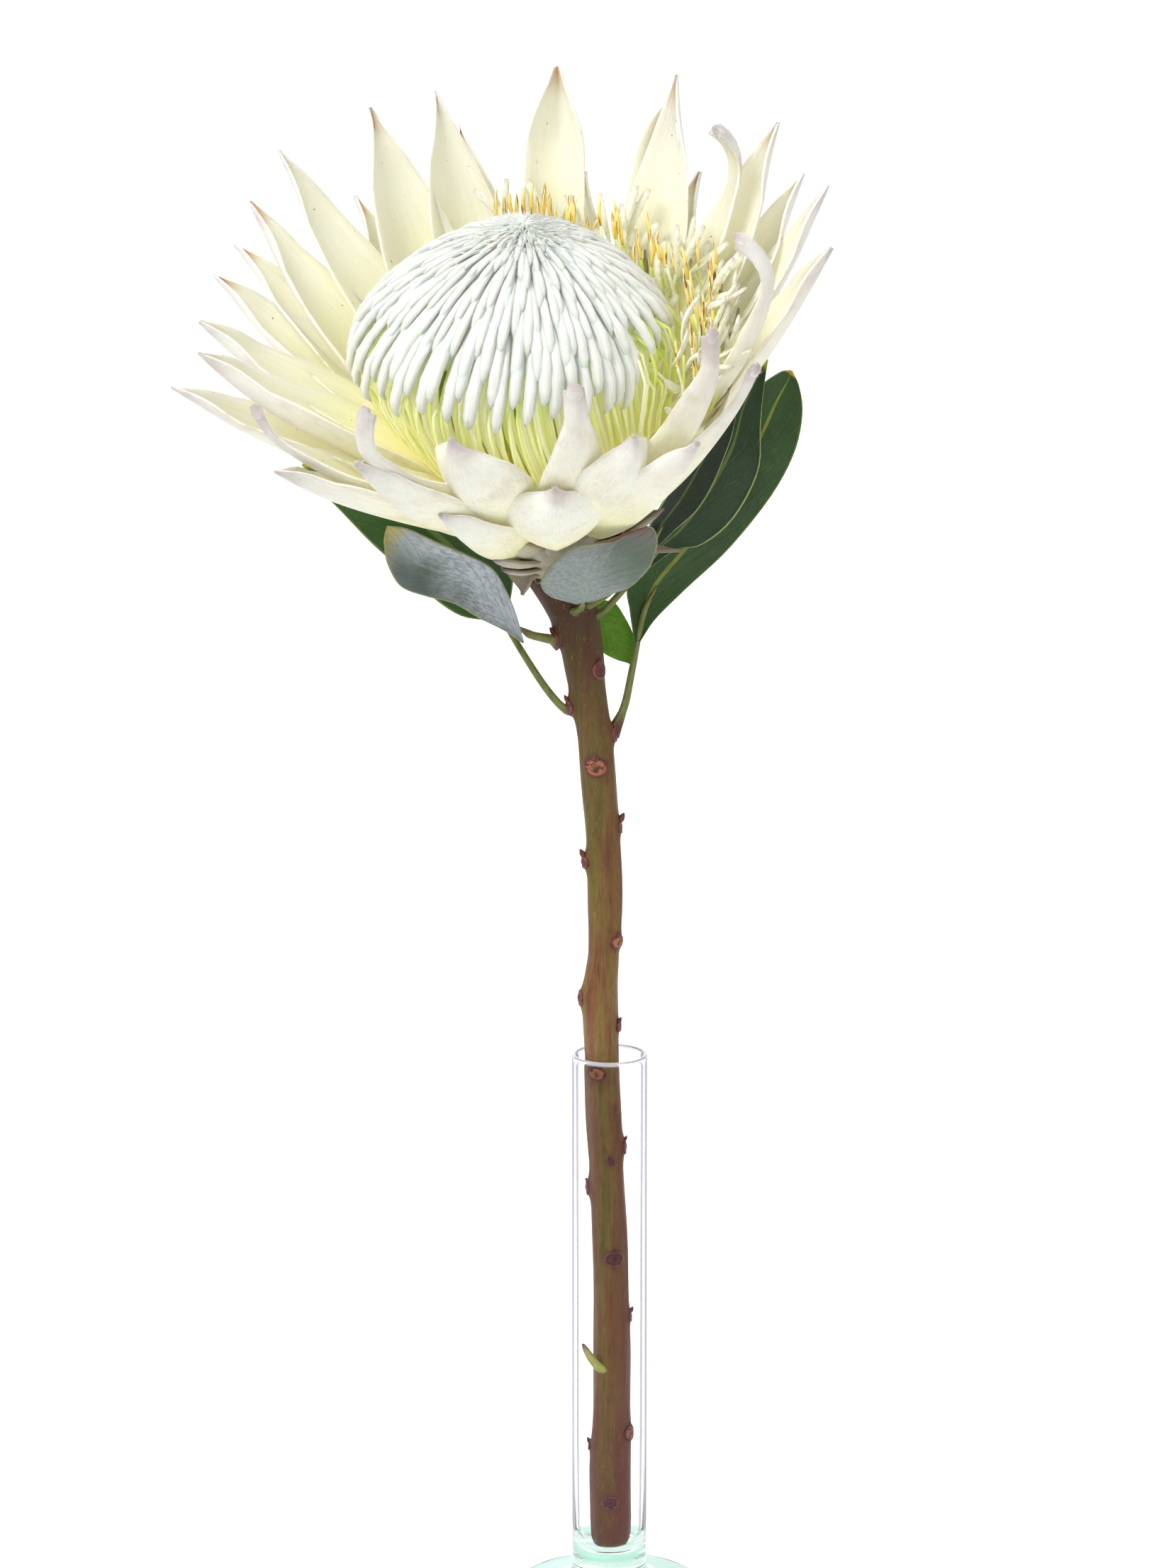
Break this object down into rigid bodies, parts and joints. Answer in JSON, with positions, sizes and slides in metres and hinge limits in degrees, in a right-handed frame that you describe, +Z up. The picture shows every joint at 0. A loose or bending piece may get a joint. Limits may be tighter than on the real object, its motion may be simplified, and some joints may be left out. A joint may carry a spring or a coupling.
{
  "type": "protea flower in a vase",
  "caption": "A single large cream protea bloom with a woolly white dome and dark leaves on a woody stem, standing in a slim clear glass bud vase.",
  "frame": {"origin": "middle of the underside of the vase's foot", "axes": "+Z up along the vase's tube, -Y towards the front of the bloom, +X to the right"},
  "size_m": [0.2226, 0.1547, 0.5376],
  "materials": {
    "glass": "clear, with a greenish thick base",
    "stem": "woody, olive with red-brown streaks, leaf scars and nodes",
    "scales": "grey-brown, woolly",
    "bracts": "waxy cream, silky hairs outside, mauve-pink tips",
    "styles": "waxy lime to yellow, a loose bundle with air between",
    "wool": "soft white wool on closed florets, with air between",
    "leaf_silvery": "grey-green with a silky silver bloom",
    "leaf_green": "leathery dark green, glossy, pale margin and midrib",
    "leaf_bright": "thin bright green with a yellow tip"
  },
  "bodies": {
    "root": {"vase": "glass", "stem": "stem", "receptacle": "scales", "involucre": "bracts", "styles": "styles", "white_cap": "wool", "leaf_front": "leaf_silvery", "leaf_silver": "leaf_silvery", "leaf_left": "leaf_green", "leaf_tall": "leaf_green", "leaf_wavy": "leaf_green", "leaf_inner": "leaf_green", "leaf_small": "leaf_bright"}
  },
  "joints": []
}
